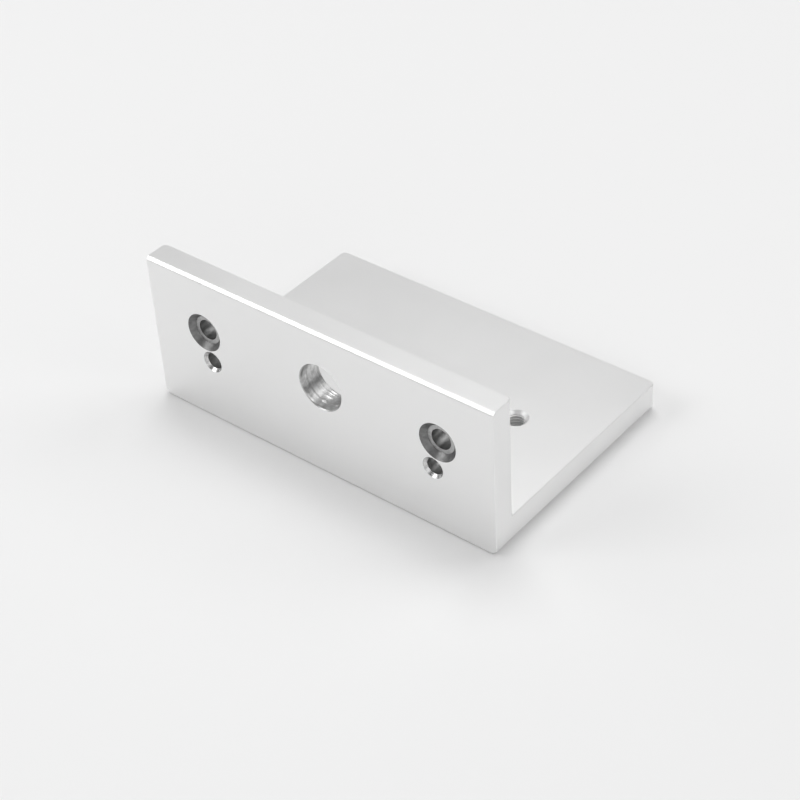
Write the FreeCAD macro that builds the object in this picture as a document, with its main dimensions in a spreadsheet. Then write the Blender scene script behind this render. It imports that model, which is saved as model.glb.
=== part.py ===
"""Angle bracket machined from one block of aluminium: a drilled flange standing on a base plate.

Millimetres.  +X runs along the flange, +Y from the flange's front face to the back of the base,
+Z up.  The origin is at the centre of the footprint, on the underside.  Hole places are measured
from the datum end, at +X, where flange and base are flush, and from the flange's front face.
"""
import FreeCAD, Part
import Sketcher
import os

NODE = "angle_bracket"
PARTS_FOLDER = "parts"

# Driving dimensions: alias, value, what it is
SIZES = [
    ("flange_length", 100.0, "flange, along X"),
    ("flange_height", 40.0, "flange, from the underside to its top"),
    ("flange_thickness", 6.5, "flange, front face to rear face"),
    ("base_reach", 63.0, "front face of the flange to the back of the base"),
    ("base_thickness", 7.5, "base plate"),
    ("base_setback", 4.5, "the base stops this far short of the flange's other end"),
    ("root_radius", 0.3, "inside corner between base and flange"),
    ("plan_radius", 1.5, "back corners of the base, seen from above"),
    ("flange_radius", 1.2, "rear corners of the flange, seen from above"),
    ("foot_chamfer", 1.2, "underside edges at the two ends"),
    ("top_chamfer", 0.85, "front top edge of the flange"),
    ("edge_break", 0.15, "chamfer on the other outer edges"),
    ("screw_end", 15.25, "datum end to the first screw hole"),
    ("screw_pitch", 68.5, "between the two screw holes"),
    ("screw_height", 24.9, "underside to the screw holes"),
    ("screw_clearance", 5.3, "clearance hole for an M5 screw"),
    ("screw_mouth", 10.0, "countersunk mouth for its head"),
    ("screw_seat", 7.4, "flat seat at the foot of the countersink"),
    ("seat_wall", 0.1, "straight wall between the countersink and the seat"),
    ("tap_core", 4.2, "core of an M5 thread"),
    ("jack_inset", 1.6, "tapped hole under each screw hole: this much nearer the middle"),
    ("jack_drop", 7.9, "and this much lower"),
    ("jack_mouth", 5.6, "countersunk mouth of these tapped holes"),
    ("bore_end", 48.3, "datum end to the large bore"),
    ("bore_height", 24.8, "underside to the large bore"),
    ("bore_size", 12.0, "large bore through the flange"),
    ("bore_break", 0.2, "chamfer at both rims of the large bore"),
    ("base_tap_end", 19.0, "datum end to the first tapped hole in the base"),
    ("base_tap_pitch", 61.0, "between the two tapped holes in the base"),
    ("base_tap_reach", 33.6, "front face to the tapped holes in the base"),
    ("base_tap_mouth", 6.0, "countersunk mouth of these tapped holes"),
    ("mouth_angle", 90.0, "included angle of the countersunk mouths, degrees"),
]

# Faces the sketches refer to
FRONT = "-Sizes.base_reach / 2"
BACK = "Sizes.base_reach / 2"
REAR_FACE = "Sizes.flange_thickness - Sizes.base_reach / 2"
DATUM_END = "Sizes.flange_length / 2"
FAR_END = "-Sizes.flange_length / 2"
BASE_END = "Sizes.base_setback - Sizes.flange_length / 2"
BASE_TOP = "Sizes.base_thickness"
FLANGE_TOP = "Sizes.flange_height"
SCREW_FLARE = "(Sizes.screw_mouth - Sizes.screw_seat) / 2"

ACROSS = FreeCAD.Vector(1, 0, 0)
DEEP = FreeCAD.Vector(0, 1, 0)
UP = FreeCAD.Vector(0, 0, 1)

SAME = 1e-4             # lengths closer than this are the same
PROBE = 0.02            # step into a corner that tells a convex edge from a concave one


def make_sheet(doc):
    """Write the driving dimensions into a spreadsheet and name each cell."""
    sheet = doc.addObject("Spreadsheet::Sheet", "Sizes")
    for row, (alias, value, note) in enumerate(SIZES, start=1):
        sheet.set(f"A{row}", note)
        sheet.set(f"B{row}", str(value))
        sheet.setAlias(f"B{row}", alias)
    doc.recompute()
    return sheet


def value_of(doc, expression):
    """The number an expression on the sheet gives."""
    return float(doc.getObject("Sizes").evalExpression(expression))


def new_sketch(body, name, role, lift="0"):
    """A sketch on one of the body's origin planes, moved along the plane's normal by lift."""
    plane = next(item for item in body.Origin.OriginFeatures if item.Role == role)
    sketch = body.newObject("Sketcher::SketchObject", name)
    sketch.AttachmentSupport = [(plane, "")]
    sketch.MapMode = "FlatFace"
    sketch.setExpression("AttachmentOffset.Base.z", lift)
    return sketch


def bind(sketch, constraint, expression):
    """Add a dimension to a sketch, driven by an expression."""
    index = sketch.addConstraint(constraint)
    sketch.setExpression(f"Constraints[{index}]", expression)


def place_point(sketch, geometry, vertex, across, up):
    """Drive both coordinates of a sketch point by expressions."""
    bind(sketch, Sketcher.Constraint("DistanceX", -1, 1, geometry, vertex, 1.0), across)
    bind(sketch, Sketcher.Constraint("DistanceY", -1, 1, geometry, vertex, 1.0), up)


def draw_outline(sketch, corners):
    """Closed outline of straight lines; each corner is a pair of expressions."""
    doc = sketch.Document
    points = [FreeCAD.Vector(value_of(doc, x), value_of(doc, y), 0) for x, y in corners]
    sides = [Part.LineSegment(a, b) for a, b in zip(points, points[1:] + points[:1])]
    sketch.addGeometry(sides, False)
    for side in range(len(sides)):
        after = (side + 1) % len(sides)
        sketch.addConstraint(Sketcher.Constraint("Coincident", side, 2, after, 1))
    for side, (across, up) in enumerate(corners):
        place_point(sketch, side, 1, across, up)


def draw_centre(sketch, across, up, diameter):
    """Circle that marks one hole."""
    doc = sketch.Document
    centre = FreeCAD.Vector(value_of(doc, across), value_of(doc, up), 0)
    circle = Part.Circle(centre, FreeCAD.Vector(0, 0, 1), value_of(doc, diameter) / 2)
    index = sketch.addGeometry(circle, False)
    place_point(sketch, index, 3, across, up)
    bind(sketch, Sketcher.Constraint("Diameter", index, 1.0), diameter)


def drill(body, name, sketch, diameter, cut="None", mouth=None, depth=None):
    """Through hole at each circle of a sketch, with a counterbore or countersink if given."""
    hole = body.newObject("PartDesign::Hole", name)
    hole.Profile = sketch
    body.Document.recompute()
    hole.DepthType = "ThroughAll"
    hole.setExpression("Diameter", diameter)
    hole.HoleCutType = cut
    if cut != "None":
        hole.HoleCutCustomValues = True
        hole.setExpression("HoleCutDiameter", mouth)
    if cut == "Counterbore":
        hole.setExpression("HoleCutDepth", depth)
    if cut == "Countersink":
        hole.setExpression("HoleCutCountersinkAngle", "Sizes.mouth_angle")
    body.Document.recompute()
    return hole


def repeat(body, name, feature, sketch, spacing):
    """A second copy of a hole, towards the far end."""
    pattern = body.newObject("PartDesign::LinearPattern", name)
    pattern.Originals = [feature]
    pattern.Direction = (sketch, ["H_Axis"])
    pattern.Reversed = True
    pattern.Mode = "Extent"
    pattern.setExpression("Length", spacing)
    pattern.Occurrences = 2
    body.Tip = pattern
    body.Document.recompute()
    return pattern


def along(edge, axis):
    """True for a straight edge parallel to an axis."""
    return isinstance(edge.Curve, Part.Line) and edge.Curve.Direction.cross(axis).Length < SAME


def lies_at(edge, **places):
    """True when the edge's middle has the given coordinates."""
    middle = edge.CenterOfMass
    return all(abs(getattr(middle, letter) - place) < SAME for letter, place in places.items())


def is_rim(edge, radius):
    """True for a circular edge of a radius."""
    return isinstance(edge.Curve, Part.Circle) and abs(edge.Curve.Radius - radius) < SAME


def is_outer_corner(edge, solid):
    """True for a straight edge where two flat faces meet squarely with air outside them."""
    faces = solid.ancestorsOfType(edge, Part.Face)
    if len(faces) != 2 or not all(isinstance(face.Surface, Part.Plane) for face in faces):
        return False
    first, second = [face.normalAt(0, 0) for face in faces]
    if abs(first.dot(second)) > SAME:
        return False
    return not solid.isInside(edge.CenterOfMass + (first - second) * PROBE, SAME, True)


def dress(body, kind, name, size, test):
    """Fillet or chamfer on the edges of the body's shape so far that pass a test."""
    before = body.Tip
    edges = enumerate(before.Shape.Edges, start=1)
    names = [f"Edge{number}" for number, edge in edges if test(edge)]
    feature = body.newObject(f"PartDesign::{kind}", name)
    feature.Base = (before, names)
    feature.setExpression("Radius" if kind == "Fillet" else "Size", size)
    body.Document.recompute()
    return feature


def build_block(body):
    """L section along X, with the base cut back at the far end and its back corners rounded."""
    section = new_sketch(body, "section", "YZ_Plane")
    draw_outline(
        section,
        [
            (FRONT, "0"),
            (BACK, "0"),
            (BACK, BASE_TOP),
            (REAR_FACE, BASE_TOP),
            (REAR_FACE, FLANGE_TOP),
            (FRONT, FLANGE_TOP),
        ],
    )
    pad = body.newObject("PartDesign::Pad", "block")
    pad.Profile = section
    pad.SideType = "Symmetric"
    pad.setExpression("Length", "Sizes.flange_length")
    body.Document.recompute()

    step = new_sketch(body, "setback_plan", "XY_Plane")
    draw_outline(
        step,
        [
            (FAR_END, REAR_FACE),
            (BASE_END, REAR_FACE),
            (BASE_END, BACK),
            (FAR_END, BACK),
        ],
    )
    pocket = body.newObject("PartDesign::Pocket", "setback")
    pocket.Profile = step
    pocket.Type = "ThroughAll"
    pocket.Reversed = True
    body.Document.recompute()


def drill_flange(body):
    """Stepped screw holes, the tapped holes under them and the large bore."""
    screw_across = f"{DATUM_END} - Sizes.screw_end"
    screw_plan = new_sketch(body, "screw_places", "XZ_Plane", BACK)
    draw_centre(screw_plan, screw_across, "Sizes.screw_height", "Sizes.screw_clearance")
    screw = drill(
        body,
        "screw_hole",
        screw_plan,
        "Sizes.screw_clearance",
        "Counterbore",
        "Sizes.screw_seat",
        f"{SCREW_FLARE} + Sizes.seat_wall",
    )
    repeat(body, "screw_holes", screw, screw_plan, "Sizes.screw_pitch")
    seat_radius = value_of(body.Document, "Sizes.screw_seat / 2")
    front = value_of(body.Document, FRONT)
    dress(
        body,
        "Chamfer",
        "screw_mouths",
        SCREW_FLARE,
        lambda edge: is_rim(edge, seat_radius) and lies_at(edge, y=front),
    )

    jack_across = f"{screw_across} - Sizes.jack_inset"
    jack_up = "Sizes.screw_height - Sizes.jack_drop"
    jack_plan = new_sketch(body, "jack_places", "XZ_Plane", BACK)
    draw_centre(jack_plan, jack_across, jack_up, "Sizes.tap_core")
    jack = drill(
        body, "jack_hole", jack_plan, "Sizes.tap_core", "Countersink", "Sizes.jack_mouth"
    )
    jack_pitch = "Sizes.screw_pitch - 2 * Sizes.jack_inset"
    repeat(body, "jack_holes", jack, jack_plan, jack_pitch)

    bore_plan = new_sketch(body, "bore_place", "XZ_Plane", BACK)
    draw_centre(
        bore_plan, f"{DATUM_END} - Sizes.bore_end", "Sizes.bore_height", "Sizes.bore_size"
    )
    drill(body, "bore", bore_plan, "Sizes.bore_size")


def drill_base(body):
    """Tapped holes through the base plate."""
    across = f"{DATUM_END} - Sizes.base_tap_end"
    deep = f"Sizes.base_tap_reach - {BACK}"
    plan = new_sketch(body, "base_tap_places", "XY_Plane", BASE_TOP)
    draw_centre(plan, across, deep, "Sizes.tap_core")
    hole = drill(
        body, "base_tap", plan, "Sizes.tap_core", "Countersink", "Sizes.base_tap_mouth"
    )
    repeat(body, "base_taps", hole, plan, "Sizes.base_tap_pitch")


def finish_edges(body):
    """Larger chamfers, corner radii, small edge breaks and the inside corner."""
    doc = body.Document
    front, back, rear_face = [value_of(doc, place) for place in (FRONT, BACK, REAR_FACE)]
    datum_end, far_end = [value_of(doc, place) for place in (DATUM_END, FAR_END)]
    base_top, flange_top = [value_of(doc, place) for place in (BASE_TOP, FLANGE_TOP)]
    bore_radius = value_of(doc, "Sizes.bore_size / 2")

    dress(
        body,
        "Chamfer",
        "foot_chamfers",
        "Sizes.foot_chamfer",
        lambda edge: along(edge, DEEP)
        and (lies_at(edge, x=datum_end, z=0) or lies_at(edge, x=far_end, z=0)),
    )
    dress(
        body,
        "Fillet",
        "base_corners",
        "Sizes.plan_radius",
        lambda edge: along(edge, UP) and lies_at(edge, y=back),
    )
    dress(
        body,
        "Fillet",
        "flange_corners",
        "Sizes.flange_radius",
        lambda edge: along(edge, UP)
        and (lies_at(edge, x=datum_end, y=rear_face) or lies_at(edge, x=far_end, y=rear_face)),
    )
    dress(
        body,
        "Chamfer",
        "top_chamfer",
        "Sizes.top_chamfer",
        lambda edge: along(edge, ACROSS) and lies_at(edge, y=front, z=flange_top),
    )
    dress(
        body,
        "Chamfer",
        "edge_breaks",
        "Sizes.edge_break",
        lambda edge: is_outer_corner(edge, body.Tip.Shape),
    )
    dress(
        body,
        "Fillet",
        "inside_corner",
        "Sizes.root_radius",
        lambda edge: along(edge, ACROSS) and lies_at(edge, y=rear_face, z=base_top),
    )
    dress(
        body,
        "Chamfer",
        "bore_breaks",
        "Sizes.bore_break",
        lambda edge: is_rim(edge, bore_radius),
    )


def check(doc, body):
    """Stop if a feature failed or cut nothing."""
    volume = None
    for item in doc.Objects:
        if "Invalid" in item.State or "Error" in item.State:
            raise RuntimeError(f"{item.Name}: {item.State}")
        if not item.isDerivedFrom("PartDesign::Feature"):
            continue
        shape = item.Shape
        if shape.isNull() or not shape.isValid() or len(shape.Solids) != 1:
            raise RuntimeError(f"{item.Name}: no single valid solid")
        if volume is not None and abs(shape.Volume - volume) < SAME:
            raise RuntimeError(f"{item.Name}: changed nothing")
        volume = shape.Volume
    if abs(body.Shape.Volume - volume) > SAME:
        raise RuntimeError("the body doesn't end at its last feature")


def main():
    doc = FreeCAD.newDocument("bracket")
    make_sheet(doc)
    body = doc.addObject("PartDesign::Body", NODE)
    body.Label = NODE
    build_block(body)
    drill_flange(body)
    drill_base(body)
    finish_edges(body)
    doc.recompute()
    check(doc, body)
    os.makedirs(PARTS_FOLDER, exist_ok=True)
    body.Shape.exportStep(os.path.join(PARTS_FOLDER, f"{NODE}.step"))


main()
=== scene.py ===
import math

import bmesh
import bpy
import numpy as np
from mathutils import Matrix, Vector


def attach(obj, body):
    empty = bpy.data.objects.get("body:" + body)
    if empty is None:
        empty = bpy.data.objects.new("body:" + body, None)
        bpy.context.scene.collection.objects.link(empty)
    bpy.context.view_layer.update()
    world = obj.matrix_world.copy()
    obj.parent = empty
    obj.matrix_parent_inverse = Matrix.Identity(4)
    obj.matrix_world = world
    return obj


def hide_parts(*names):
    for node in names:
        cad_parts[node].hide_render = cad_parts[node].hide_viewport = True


MM = 0.001

# Faces and holes of the bracket: those in the flange by x and z, those in the base by x and y
FRONT = -31.5 * MM
REAR = -25.0 * MM
FLANGE_TOP = 40.0 * MM
TOP_CHAMFER = 0.85 * MM
BASE_TOP = 7.5 * MM
SCREW_PLACES = ((34.75 * MM, 24.9 * MM), (-33.75 * MM, 24.9 * MM))
JACK_PLACES = ((33.15 * MM, 17.0 * MM), (-32.15 * MM, 17.0 * MM))
BORE_PLACE = (1.7 * MM, 24.8 * MM)
BASE_TAP_PLACES = ((31.0 * MM, 2.1 * MM), (-30.0 * MM, 2.1 * MM))
MOUTH_RADIUS = {"screw": 5.0 * MM, "jack": 2.8 * MM, "bore": 6.2 * MM, "base": 3.0 * MM}

# M5 coarse thread, by its radii
THREAD_PITCH = 0.8 * MM
THREAD_MAJOR = 2.5 * MM
THREAD_MINOR = 2.04 * MM        # just inside the drilled core
THREAD_CLEAR = 1.2 * MM         # the thread cutter reaches this far past each face
THREAD_COLUMNS = 48
THREAD_ROWS_A_PITCH = 12

MERGE = 0.0005 * MM             # corners of the CAD mesh nearer than this are one
ON_FACE = 0.001 * MM            # nearer than this to a face counts as on it
JACK_MOUTH_DEPTH = 0.75 * MM
SHARP_ANGLE = 28                # degrees between faces from which an edge is drawn sharp

# Reflectance and roughness of each kind of face; the low reflectance in the flange's holes is
# painted shade
BLOCK = (0.885, 0.41)
SCREW_MOUTH = (0.2, 0.42)
SCREW_SEAT = (0.43, 0.36)
SCREW_CORE = (0.26, 0.34)
JACK_MOUTH = (0.6, 0.26)
JACK_CORE = (0.42, 0.3)
BASE_TAP = (0.88, 0.4)
BORE = (0.54, 0.3)
BLOCK_LEAST_GREY = 0.8          # the holes in the flange are darker than this

# Patterns in the satin skin, in waves a metre: the same all round, or along x, y and z
GRAIN = 4000.0
CLOUD = 60.0
BLOTCH = 1100.0
BORE_RINGS = (12, 1500, 12)
MILL_LINES = (90, 5200, 5200)

# Bump heights of the patterns, in parts of RELIEF
RELIEF = 0.1 * MM
GRAIN_HEIGHT = 0.02
MILL_HEIGHT = 0.012
RING_HEIGHT = 1.8
NICK_HEIGHT = 0.35
CREST_DROP = 0.75

# How far the patterns change the reflectance and the roughness
HOLE_STAIN = 0.9
CLOUD_STAIN = 0.02
GRAIN_ROUGHNESS = 0.1
CLOUD_ROUGHNESS = 0.04

BLACK = (0.0, 0.0, 0.0, 1.0)
WARM_WHITE = (1.0, 1.0, 0.997, 1.0)
PAPER = (0.86, 0.86, 0.86, 1.0)

FLOOR_HALF = 2.5
FLOOR_DROP = 0.2 * MM
WORLD_LEVEL = 0.2

# Lamps: name, azimuth and elevation in degrees, distance and size in metres, power in watts
SOFTBOXES = (
    ("key", -39, 36, 1.2, (0.5, 0.5), 2.5),
    ("high_back_left", -139, 72, 1.5, (0.7, 0.7), 8.0),
    ("low_back_left", -139, 32, 1.5, (0.9, 0.9), 0.7),
    ("left", -65, 36, 1.5, (1.0, 1.0), 3.5),
    ("front", 41, 20, 1.5, (1.6, 0.9), 4.2),
    ("right", 90, 45, 1.5, (0.75, 0.75), 2.6),
    ("overhead", 0, 89, 1.5, (0.9, 0.9), 1.8),
    ("edge", 133, 29, 1.5, (0.5, 0.5), 0.6),
    ("back_right", 151, 47, 1.5, (0.75, 0.75), 3.2),
)

# Camera: azimuth, elevation and tilt in degrees, the point it looks at, its distance and lens
CAMERA_TURN = (40.88, 38.752, -3.598)
CAMERA_AIM = Vector((3.507, -6.709, 5.821)) * MM
CAMERA_DISTANCE = 463.56 * MM
CAMERA_SENSOR = 36
CAMERA_LENS = 88.446


class Value:
    """A shader socket that takes part in Python expressions: each operator adds one Math node."""

    def __init__(self, finish, socket):
        self.finish = finish
        self.socket = socket

    def _math(self, operation, *values):
        sockets = dict(enumerate(values))
        return self.finish.node("ShaderNodeMath", {"operation": operation}, sockets)

    def __add__(self, other):
        return self._math("ADD", self, other)

    __radd__ = __add__

    def __sub__(self, other):
        return self._math("SUBTRACT", self, other)

    def __rsub__(self, other):
        return self._math("SUBTRACT", other, self)

    def __mul__(self, other):
        return self._math("MULTIPLY", self, other)

    __rmul__ = __mul__

    def below(self, edge, softness):
        """1 where the value is under edge, 0 over it, with a soft step between."""
        return self.finish.node(
            "ShaderNodeMapRange",
            {"interpolation_type": "SMOOTHSTEP"},
            {0: self, 1: edge - softness / 2, 2: edge + softness / 2, 3: 1.0, 4: 0.0},
        )


class Finish:
    """A material's node tree with one way to add nodes."""

    def __init__(self, name):
        self.material = bpy.data.materials.new(name)
        self.material.use_nodes = True
        self.tree = self.material.node_tree
        self.shader = self.tree.nodes["Principled BSDF"]

    def node(self, kind, settings, sockets, out=0):
        """Add a node: its settings first, then its sockets by number or name."""
        node = self.tree.nodes.new(kind)
        for key, setting in settings.items():
            setattr(node, key, setting)
        for socket, value in sockets.items():
            self.feed(node.inputs[socket], value)
        return Value(self, node.outputs[out])

    def mix_colour(self, factor, first, second):
        """Colour between two, by a factor."""
        sockets = {0: factor, 6: first, 7: second}
        return self.node("ShaderNodeMix", {"data_type": "RGBA"}, sockets, out=2)

    def attribute(self, name):
        """A face attribute of the mesh."""
        return self.node("ShaderNodeAttribute", {"attribute_name": name}, {}, out=2)

    def noise(self, place, scale):
        """Noise about 0, with half a unit to either side."""
        sockets = {"Vector": place, "Scale": scale, "Detail": 2.0}
        return self.node("ShaderNodeTexNoise", {}, sockets) - 0.5

    def stretched(self, place, factors):
        """Coordinates times a factor for each axis."""
        return self.node("ShaderNodeVectorMath", {"operation": "MULTIPLY"}, {0: place, 1: factors})

    def feed(self, socket, value):
        """Link a socket to a value, or set it to a constant."""
        if isinstance(value, Value):
            self.tree.links.new(value.socket, socket)
        else:
            socket.default_value = value

    def set(self, **sockets):
        """Set or link the surface shader's sockets; an underscore stands for a space."""
        for name, value in sockets.items():
            self.feed(self.shader.inputs[name.replace("_", " ")], value)
        return self.material


def new_mesh(name, points, faces):
    """Mesh object with its place in its vertices."""
    mesh = bpy.data.meshes.new(name)
    mesh.from_pydata(points.tolist(), [], faces)
    mesh.validate()
    piece = bpy.data.objects.new(name, mesh)
    bpy.context.scene.collection.objects.link(piece)
    return piece


def threaded_rod(name, start, length, turn):
    """Closed rod with an M5 thread, which cuts the thread of a tapped hole.

    Along one pitch the radius rises in a straight line from the core to the full radius over 5/16
    of the pitch, stays there for 1/8, falls back over 5/16 and stays at the core for 1/4.  The
    phase moves on by one pitch per turn.  Rows run along the rod and columns round it.
    """
    columns = THREAD_COLUMNS
    rows = int(length / THREAD_PITCH * THREAD_ROWS_A_PITCH) + 1
    angle = np.arange(columns) * 2 * np.pi / columns
    height = np.linspace(0, length, rows)
    phase = (height[:, None] / THREAD_PITCH - angle[None, :] / (2 * np.pi)) % 1.0
    rise = np.interp(phase, (0, 5 / 16, 7 / 16, 12 / 16, 1), (0, 1, 1, 0, 0))
    radius = THREAD_MINOR + (THREAD_MAJOR - THREAD_MINOR) * rise
    along = np.broadcast_to(height[:, None], radius.shape)
    grid = np.stack((radius * np.cos(angle), radius * np.sin(angle), along), axis=-1)
    ends = np.array([(0, 0, 0), (0, 0, length)])
    points = np.concatenate((grid.reshape(-1, 3), ends)) @ np.array(turn).T + np.array(start)

    corner = np.arange(rows * columns).reshape(rows, columns)
    after = np.roll(corner, -1, axis=1)
    walls = np.stack((corner[:-1], after[:-1], after[1:], corner[1:]), axis=-1).reshape(-1, 4)
    foot, head = rows * columns, rows * columns + 1
    foot_fan = np.stack((np.full(columns, foot), after[0], corner[0]), axis=-1)
    head_fan = np.stack((np.full(columns, head), corner[-1], after[-1]), axis=-1)
    return new_mesh(name, points, walls.tolist() + foot_fan.tolist() + head_fan.tolist())


def thread_cutters():
    """One threaded rod for each tapped hole: two through the flange, two through the base."""
    through_flange = ((1, 0, 0), (0, 0, 1), (0, -1, 0))
    upright = ((1, 0, 0), (0, 1, 0), (0, 0, 1))
    deep = REAR - FRONT + 2 * THREAD_CLEAR
    tall = BASE_TOP + 2 * THREAD_CLEAR
    rods = []
    for x, z in JACK_PLACES:
        start = (x, REAR + THREAD_CLEAR, z)
        rods.append(threaded_rod("flange_thread", start, deep, through_flange))
    for x, y in BASE_TAP_PLACES:
        start = (x, y, -THREAD_CLEAR)
        rods.append(threaded_rod("base_thread", start, tall, upright))
    return rods


def add_modifier(piece, kind, **settings):
    """Put a modifier with its settings on a piece."""
    modifier = piece.modifiers.new(kind.lower(), kind)
    for key, setting in settings.items():
        setattr(modifier, key, setting)


def bake_modifiers(piece):
    """Put the result of a piece's modifiers into its mesh."""
    graph = bpy.context.evaluated_depsgraph_get()
    result = bpy.data.meshes.new_from_object(piece.evaluated_get(graph))
    piece.modifiers.clear()
    piece.data = result


def cut_threads(node):
    """Copy of the CAD mesh, merged, with the threads cut into its four tapped holes."""
    mesh = node.data.copy()
    mesh.materials.clear()
    form = bmesh.new()
    form.from_mesh(mesh)
    bmesh.ops.remove_doubles(form, verts=form.verts, dist=MERGE)
    form.to_mesh(mesh)
    form.free()
    if mesh.has_custom_normals:
        mesh.attributes.remove(mesh.attributes["custom_normal"])
    piece = bpy.data.objects.new("machined_block", mesh)
    bpy.context.scene.collection.objects.link(piece)
    rods = thread_cutters()
    for rod in rods:
        add_modifier(piece, "BOOLEAN", operation="DIFFERENCE", solver="EXACT", object=rod)
    bake_modifiers(piece)
    for rod in rods:
        bpy.data.objects.remove(rod)
    piece.data.shade_smooth()
    piece.data.set_sharp_from_angle(angle=math.radians(SHARP_ANGLE))
    add_modifier(piece, "WEIGHTED_NORMAL", mode="FACE_AREA", weight=100, keep_sharp=True)
    bake_modifiers(piece)
    return piece


def face_arrays(mesh):
    """Centres and normals of a mesh's faces as arrays."""
    centres = np.empty(len(mesh.polygons) * 3)
    normals = np.empty(len(mesh.polygons) * 3)
    mesh.polygons.foreach_get("center", centres)
    mesh.polygons.foreach_get("normal", normals)
    return centres.reshape(-1, 3), normals.reshape(-1, 3)


def within(across, up, places, radius):
    """True where a point lies nearer than radius to one of the places."""
    return np.any([np.hypot(across - a, up - b) < radius for a, b in places], axis=0)


def mark_faces(piece):
    """Face attributes for the finish, from each face's centre and normal.

    "grey" and "rough" are the face's reflectance and roughness.  The block's own faces are bright
    satin.  The holes in the flange get a lower "grey", which is painted shade: the conical screw
    mouths darkest and dull, their flat seats lighter, the narrow holes and the bore dark and
    smoother.  "ring" is 1 in the large bore, where the boring tool left rings.  "edge" is
    1 on the slanted faces that are as bright as the block: its chamfers, its corner radii and the
    threads in the base.  "crest" is 1 on the flange's front top chamfer alone.
    """
    centres, normals = face_arrays(piece.data)
    x, y, z = centres.T
    in_flange = (y > FRONT + ON_FACE) & (y < REAR - ON_FACE)
    in_base = (z > ON_FACE) & (z < BASE_TOP - ON_FACE)
    flat = np.abs(normals[:, 1]) > 0.95
    straight = np.abs(normals[:, 1]) < 0.05
    slanted = np.abs(normals).max(axis=1) < 0.9
    screw = in_flange & within(x, z, SCREW_PLACES, MOUTH_RADIUS["screw"])
    jack = in_flange & within(x, z, JACK_PLACES, MOUTH_RADIUS["jack"])
    bore = in_flange & within(x, z, (BORE_PLACE,), MOUTH_RADIUS["bore"])
    base_tap = in_base & within(x, y, BASE_TAP_PLACES, MOUTH_RADIUS["base"])
    kinds = (
        (screw, SCREW_MOUTH),
        (screw & flat, SCREW_SEAT),
        (screw & straight, SCREW_CORE),
        (jack, JACK_CORE),
        (jack & (y < FRONT + JACK_MOUTH_DEPTH), JACK_MOUTH),
        (base_tap, BASE_TAP),
        (bore, BORE),
    )
    grey, rough = [np.full(len(centres), value) for value in BLOCK]
    for faces, (reflectance, roughness) in kinds:
        grey[faces] = reflectance
        rough[faces] = roughness
    edge = slanted & (grey > BLOCK_LEAST_GREY)
    crest = edge & (y < FRONT + TOP_CHAMFER) & (z > FLANGE_TOP - TOP_CHAMFER)
    marks = {"grey": grey, "rough": rough, "ring": bore, "edge": edge, "crest": crest}
    for name, values in marks.items():
        layer = piece.data.attributes.new(name, "FLOAT", "FACE")
        layer.data.foreach_set("value", values.astype(np.float32))


def floor_finish():
    """Matt pale paper."""
    finish = Finish("pale_floor")
    return finish.set(Base_Color=PAPER, Roughness=0.9, Specular_IOR_Level=0.0)


def satin_finish():
    """Fine machined aluminium under a clear anodised skin, with its tool marks and small nicks,
    and painted shade in its holes.
    """
    finish = Finish("satin_aluminium_skin")
    place = finish.node("ShaderNodeTexCoord", {}, {}, out=3)
    grey, rough, ring, edge, crest = [
        finish.attribute(name) for name in ("grey", "rough", "ring", "edge", "crest")
    ]
    grain = finish.noise(place, GRAIN)
    cloud = finish.noise(place, CLOUD)
    blotch = finish.noise(place, BLOTCH)
    groove = finish.noise(finish.stretched(place, BORE_RINGS), 1.0)
    milled = finish.noise(finish.stretched(place, MILL_LINES), 1.0)
    in_hole = grey.below(BLOCK_LEAST_GREY, softness=0.1)

    # The crest falls off on both sides with the fourth power of the way from its middle line
    rise = finish.node("ShaderNodeSeparateXYZ", {}, {0: place}, out=2)
    from_middle = (rise - (FLANGE_TOP - TOP_CHAMFER / 2)) * (2 / TOP_CHAMFER)
    squared = from_middle * from_middle
    rounding = squared * squared * crest * -CREST_DROP

    tool_marks = grain * GRAIN_HEIGHT + milled * MILL_HEIGHT + groove * ring * RING_HEIGHT
    height = tool_marks + blotch * edge * NICK_HEIGHT + rounding
    relief = {"Strength": 1.0, "Distance": RELIEF, "Height": height}
    # Base colour: each face's grey, whose low values in the flange's holes are painted shade,
    # varied by random blotchy stains in the holes and faint clouds
    painted_shade_and_stain = grey * (1.0 + blotch * in_hole * HOLE_STAIN + cloud * CLOUD_STAIN)
    return finish.set(
        Base_Color=finish.mix_colour(painted_shade_and_stain, BLACK, WARM_WHITE),
        Metallic=0.9,
        Roughness=rough + grain * GRAIN_ROUGHNESS + cloud * CLOUD_ROUGHNESS,
        Normal=finish.node("ShaderNodeBump", {}, relief),
    )


def lay_floor():
    """Wide pale floor, a hair below the underside so that the two faces don't coincide."""
    corners = [(-1, -1), (1, -1), (1, 1), (-1, 1)]
    points = np.array([(x * FLOOR_HALF, y * FLOOR_HALF, -FLOOR_DROP) for x, y in corners])
    floor = new_mesh("floor", points, [(0, 1, 2, 3)])
    floor.data.materials.append(floor_finish())


def towards(azimuth, elevation):
    """Unit vector by two angles in degrees: azimuth 0 is the front and 90 the right."""
    turn, rise = math.radians(azimuth), math.radians(elevation)
    level = math.cos(rise)
    return Vector((math.sin(turn) * level, -math.cos(turn) * level, math.sin(rise)))


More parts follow.
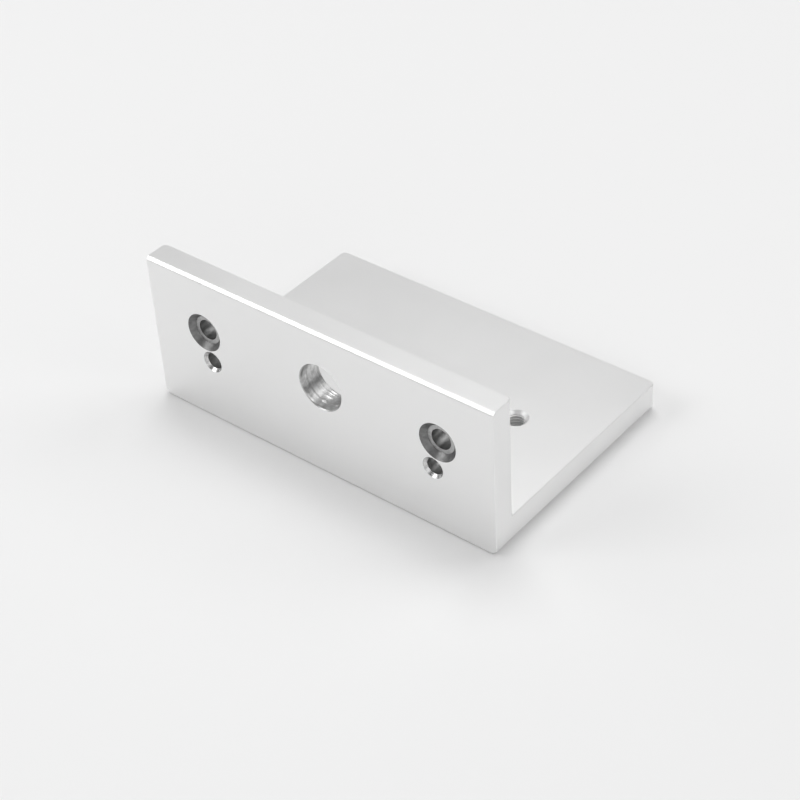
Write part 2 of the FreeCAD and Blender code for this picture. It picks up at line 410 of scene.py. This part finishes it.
def add_softbox(name, azimuth, elevation, distance, size, power):
    """Rectangular area lamp that faces the origin."""
    back = towards(azimuth, elevation)
    light = bpy.data.lights.new(name, "AREA")
    light.shape = "RECTANGLE"
    light.size, light.size_y = size
    light.energy = power
    lamp = bpy.data.objects.new(name, light)
    lamp.location = back * distance
    lamp.rotation_euler = back.to_track_quat("Z", "Y").to_euler()
    bpy.context.scene.collection.objects.link(lamp)


def light_studio():
    """Dim white surroundings and large soft lamps."""
    world = bpy.data.worlds.new("studio")
    bpy.context.scene.world = world
    world.use_nodes = True
    background = world.node_tree.nodes["Background"]
    background.inputs["Color"].default_value = (1, 1, 1, 1)
    background.inputs["Strength"].default_value = WORLD_LEVEL
    for softbox in SOFTBOXES:
        add_softbox(*softbox)


def place_camera():
    """Camera that looks down at the bracket from the front right, tilted a little."""
    azimuth, elevation, tilt = CAMERA_TURN
    back = towards(azimuth, elevation)
    lens = bpy.data.cameras.new("camera")
    lens.sensor_width = CAMERA_SENSOR
    lens.lens = CAMERA_LENS
    lens.clip_start = 0.01
    camera = bpy.data.objects.new("camera", lens)
    place = Matrix.Translation(CAMERA_AIM + back * CAMERA_DISTANCE)
    turn = back.to_track_quat("Z", "Y").to_matrix().to_4x4()
    camera.matrix_world = place @ turn @ Matrix.Rotation(math.radians(tilt), 4, "Z")
    bpy.context.scene.collection.objects.link(camera)
    bpy.context.scene.camera = camera


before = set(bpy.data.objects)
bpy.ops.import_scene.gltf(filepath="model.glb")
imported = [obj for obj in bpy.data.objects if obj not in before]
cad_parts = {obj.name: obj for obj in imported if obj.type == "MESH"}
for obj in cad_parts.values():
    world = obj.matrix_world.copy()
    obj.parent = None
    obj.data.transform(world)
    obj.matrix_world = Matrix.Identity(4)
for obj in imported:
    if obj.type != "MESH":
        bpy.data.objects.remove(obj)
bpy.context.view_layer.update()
bpy.context.scene.view_settings.view_transform = "Standard"

block = cut_threads(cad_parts["angle_bracket"])
mark_faces(block)
block.data.materials.append(satin_finish())
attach(block, "root")
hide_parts("angle_bracket")

lay_floor()
light_studio()
place_camera()
